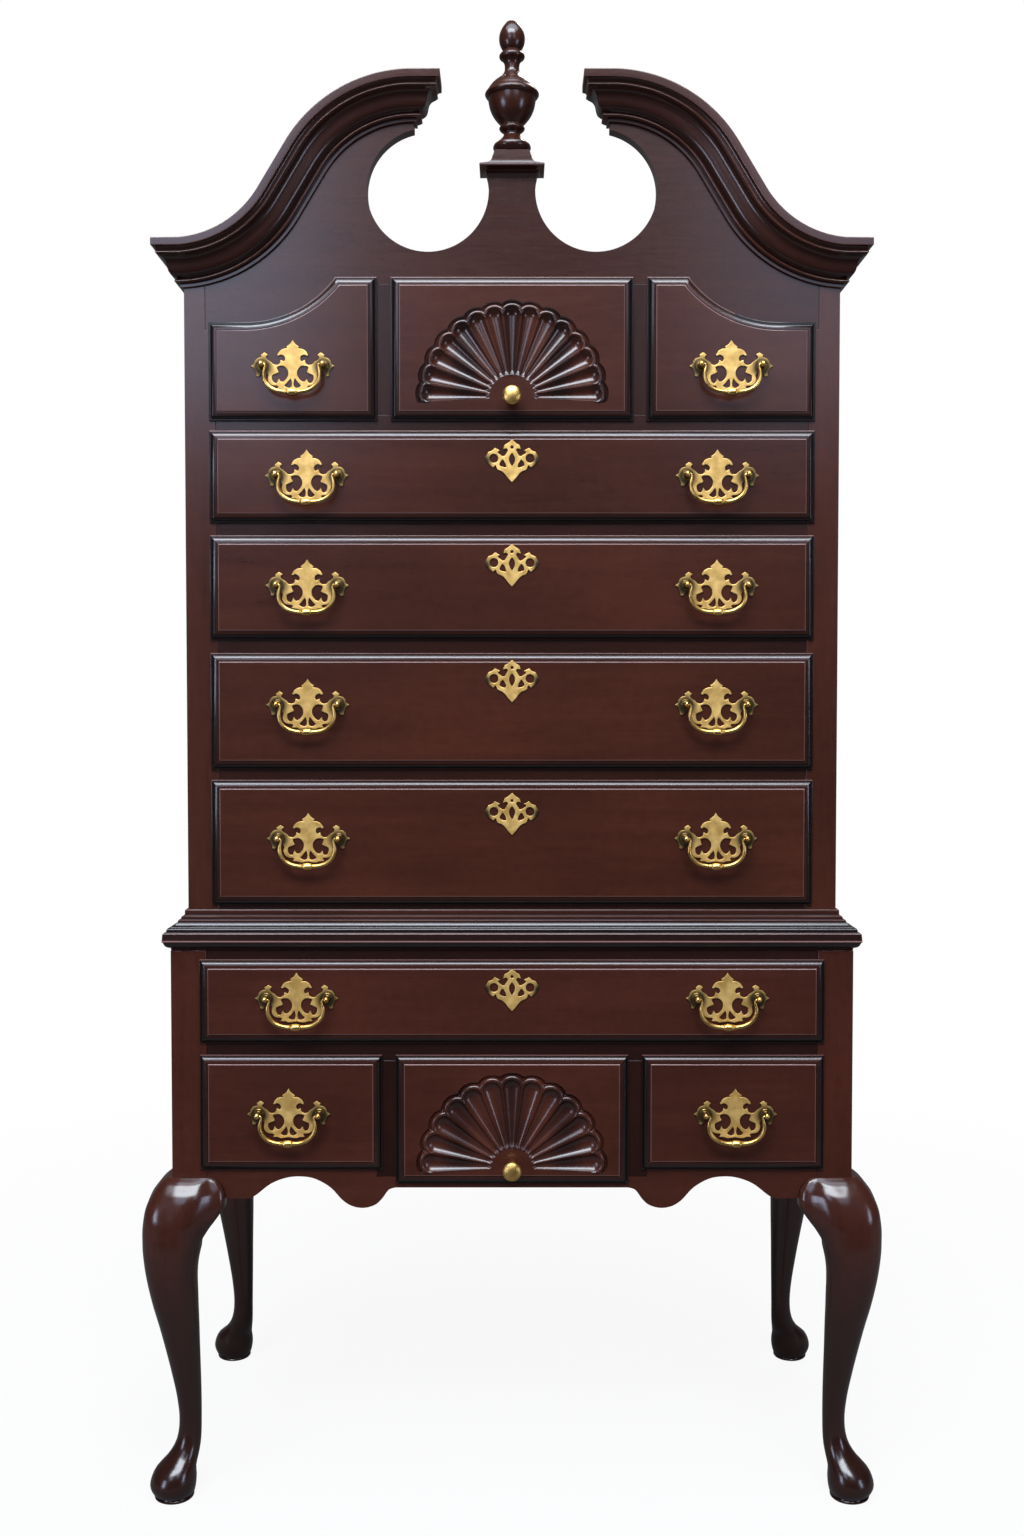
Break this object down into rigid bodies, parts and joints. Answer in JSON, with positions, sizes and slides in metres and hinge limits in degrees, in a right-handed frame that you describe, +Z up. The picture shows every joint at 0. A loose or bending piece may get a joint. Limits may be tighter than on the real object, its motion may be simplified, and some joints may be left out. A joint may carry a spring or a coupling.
{
  "type": "highboy chest of drawers",
  "caption": "Two-case highboy with lipped sliding drawers, swinging bail pulls, carved fans, cabriole legs, waist moulding and a scrolled pediment with a turned finial.",
  "frame": {"origin": "middle of the footprint, on the floor under the feet", "axes": "+Z up, the drawers open towards -Y, +X to the right of someone facing the front"},
  "size_m": [1.061, 0.563, 2.1172],
  "materials": {
    "upper_mahogany": "satin lacquer over dark red-brown stain",
    "lower_mahogany": "satin lacquer over dark red-brown stain",
    "secondary_wood": "plain planed wood",
    "antique_brass": "antique polished brass"
  },
  "bodies": {
    "case": {"upper_side_left": "upper_mahogany", "upper_side_right": "upper_mahogany", "upper_top_board": "upper_mahogany", "upper_back_panel": "secondary_wood", "upper_face_frame": "upper_mahogany", "pediment_board": "upper_mahogany", "crown_moulding_left": "upper_mahogany", "crown_moulding_right": "upper_mahogany", "finial_plinth": "upper_mahogany", "finial": "upper_mahogany", "waist_moulding": "lower_mahogany", "lower_side_left": "lower_mahogany", "lower_side_right": "lower_mahogany", "lower_back_panel": "secondary_wood", "lower_front_apron": "lower_mahogany", "leg_front_left": "lower_mahogany", "leg_front_right": "lower_mahogany", "leg_rear_left": "lower_mahogany", "leg_rear_right": "lower_mahogany"},
    "long_4_drawer": {"drawer_long_4": "upper_mahogany", "pull_plate_long_4_left": "antique_brass", "pull_plate_long_4_right": "antique_brass"},
    "long_3_drawer": {"drawer_long_3": "upper_mahogany", "pull_plate_long_3_left": "antique_brass", "pull_plate_long_3_right": "antique_brass"},
    "long_2_drawer": {"drawer_long_2": "upper_mahogany", "pull_plate_long_2_left": "antique_brass", "pull_plate_long_2_right": "antique_brass"},
    "long_1_drawer": {"drawer_long_1": "upper_mahogany", "pull_plate_long_1_left": "antique_brass", "pull_plate_long_1_right": "antique_brass"},
    "lower_long_drawer": {"drawer_lower_long": "lower_mahogany", "pull_plate_lower_long_left": "antique_brass", "pull_plate_lower_long_right": "antique_brass"},
    "top_centre_drawer": {"drawer_top_centre": "upper_mahogany", "knob_top_centre": "antique_brass"},
    "lower_centre_drawer": {"drawer_lower_centre": "lower_mahogany", "knob_lower_centre": "antique_brass"},
    "top_left_drawer": {"drawer_top_left": "upper_mahogany", "pull_plate_top_left": "antique_brass"},
    "top_right_drawer": {"drawer_top_right": "upper_mahogany", "pull_plate_top_right": "antique_brass"},
    "lower_left_drawer": {"drawer_lower_left": "lower_mahogany", "pull_plate_lower_left": "antique_brass"},
    "lower_right_drawer": {"drawer_lower_right": "lower_mahogany", "pull_plate_lower_right": "antique_brass"},
    "bail_long_4_left": {"bail_long_4_left": "antique_brass"},
    "bail_long_4_right": {"bail_long_4_right": "antique_brass"},
    "bail_long_3_left": {"bail_long_3_left": "antique_brass"},
    "bail_long_3_right": {"bail_long_3_right": "antique_brass"},
    "bail_long_2_left": {"bail_long_2_left": "antique_brass"},
    "bail_long_2_right": {"bail_long_2_right": "antique_brass"},
    "bail_long_1_left": {"bail_long_1_left": "antique_brass"},
    "bail_long_1_right": {"bail_long_1_right": "antique_brass"},
    "bail_lower_long_left": {"bail_lower_long_left": "antique_brass"},
    "bail_top_left": {"bail_top_left": "antique_brass"},
    "bail_lower_left": {"bail_lower_left": "antique_brass"},
    "bail_lower_long_right": {"bail_lower_long_right": "antique_brass"},
    "bail_top_right": {"bail_top_right": "antique_brass"},
    "bail_lower_right": {"bail_lower_right": "antique_brass"}
  },
  "joints": [
    {"name": "long_4_slide", "type": "slide", "parent": "case", "child": "long_4_drawer", "axis": [0, -1, 0], "range_m": [0, 0.32]},
    {"name": "long_3_slide", "type": "slide", "parent": "case", "child": "long_3_drawer", "axis": [0, -1, 0], "range_m": [0, 0.32]},
    {"name": "long_2_slide", "type": "slide", "parent": "case", "child": "long_2_drawer", "axis": [0, -1, 0], "range_m": [0, 0.32]},
    {"name": "long_1_slide", "type": "slide", "parent": "case", "child": "long_1_drawer", "axis": [0, -1, 0], "range_m": [0, 0.32]},
    {"name": "lower_long_slide", "type": "slide", "parent": "case", "child": "lower_long_drawer", "axis": [0, -1, 0], "range_m": [0, 0.32]},
    {"name": "top_centre_slide", "type": "slide", "parent": "case", "child": "top_centre_drawer", "axis": [0, -1, 0], "range_m": [0, 0.32]},
    {"name": "lower_centre_slide", "type": "slide", "parent": "case", "child": "lower_centre_drawer", "axis": [0, -1, 0], "range_m": [0, 0.32]},
    {"name": "top_left_slide", "type": "slide", "parent": "case", "child": "top_left_drawer", "axis": [0, -1, 0], "range_m": [0, 0.32]},
    {"name": "top_right_slide", "type": "slide", "parent": "case", "child": "top_right_drawer", "axis": [0, -1, 0], "range_m": [0, 0.32]},
    {"name": "lower_left_slide", "type": "slide", "parent": "case", "child": "lower_left_drawer", "axis": [0, -1, 0], "range_m": [0, 0.32]},
    {"name": "lower_right_slide", "type": "slide", "parent": "case", "child": "lower_right_drawer", "axis": [0, -1, 0], "range_m": [0, 0.32]},
    {"name": "bail_long_4_left_swing", "type": "hinge", "parent": "long_4_drawer", "child": "bail_long_4_left", "pos_m": [-0.292, -0.2413, 0.9535], "axis": [-1, 0, 0], "range_deg": [0, 90]},
    {"name": "bail_long_4_right_swing", "type": "hinge", "parent": "long_4_drawer", "child": "bail_long_4_right", "pos_m": [0.292, -0.2413, 0.9535], "axis": [-1, 0, 0], "range_deg": [0, 90]},
    {"name": "bail_long_3_left_swing", "type": "hinge", "parent": "long_3_drawer", "child": "bail_long_3_left", "pos_m": [-0.292, -0.2413, 1.1451], "axis": [-1, 0, 0], "range_deg": [0, 90]},
    {"name": "bail_long_3_right_swing", "type": "hinge", "parent": "long_3_drawer", "child": "bail_long_3_right", "pos_m": [0.292, -0.2413, 1.1451], "axis": [-1, 0, 0], "range_deg": [0, 90]},
    {"name": "bail_long_2_left_swing", "type": "hinge", "parent": "long_2_drawer", "child": "bail_long_2_left", "pos_m": [-0.292, -0.2413, 1.315], "axis": [-1, 0, 0], "range_deg": [0, 90]},
    {"name": "bail_long_2_right_swing", "type": "hinge", "parent": "long_2_drawer", "child": "bail_long_2_right", "pos_m": [0.292, -0.2413, 1.315], "axis": [-1, 0, 0], "range_deg": [0, 90]},
    {"name": "bail_long_1_left_swing", "type": "hinge", "parent": "long_1_drawer", "child": "bail_long_1_left", "pos_m": [-0.292, -0.2413, 1.4707], "axis": [-1, 0, 0], "range_deg": [0, 90]},
    {"name": "bail_long_1_right_swing", "type": "hinge", "parent": "long_1_drawer", "child": "bail_long_1_right", "pos_m": [0.292, -0.2413, 1.4707], "axis": [-1, 0, 0], "range_deg": [0, 90]},
    {"name": "bail_lower_long_left_swing", "type": "hinge", "parent": "lower_long_drawer", "child": "bail_lower_long_left", "pos_m": [-0.307, -0.2628, 0.727], "axis": [-1, 0, 0], "range_deg": [0, 90]},
    {"name": "bail_top_left_swing", "type": "hinge", "parent": "top_left_drawer", "child": "bail_top_left", "pos_m": [-0.311, -0.2413, 1.625], "axis": [-1, 0, 0], "range_deg": [0, 90]},
    {"name": "bail_lower_left_swing", "type": "hinge", "parent": "lower_left_drawer", "child": "bail_lower_left", "pos_m": [-0.319, -0.2628, 0.5605], "axis": [-1, 0, 0], "range_deg": [0, 90]},
    {"name": "bail_lower_long_right_swing", "type": "hinge", "parent": "lower_long_drawer", "child": "bail_lower_long_right", "pos_m": [0.307, -0.2628, 0.727], "axis": [-1, 0, 0], "range_deg": [0, 90]},
    {"name": "bail_top_right_swing", "type": "hinge", "parent": "top_right_drawer", "child": "bail_top_right", "pos_m": [0.311, -0.2413, 1.625], "axis": [-1, 0, 0], "range_deg": [0, 90]},
    {"name": "bail_lower_right_swing", "type": "hinge", "parent": "lower_right_drawer", "child": "bail_lower_right", "pos_m": [0.319, -0.2628, 0.5605], "axis": [-1, 0, 0], "range_deg": [0, 90]}
  ]
}
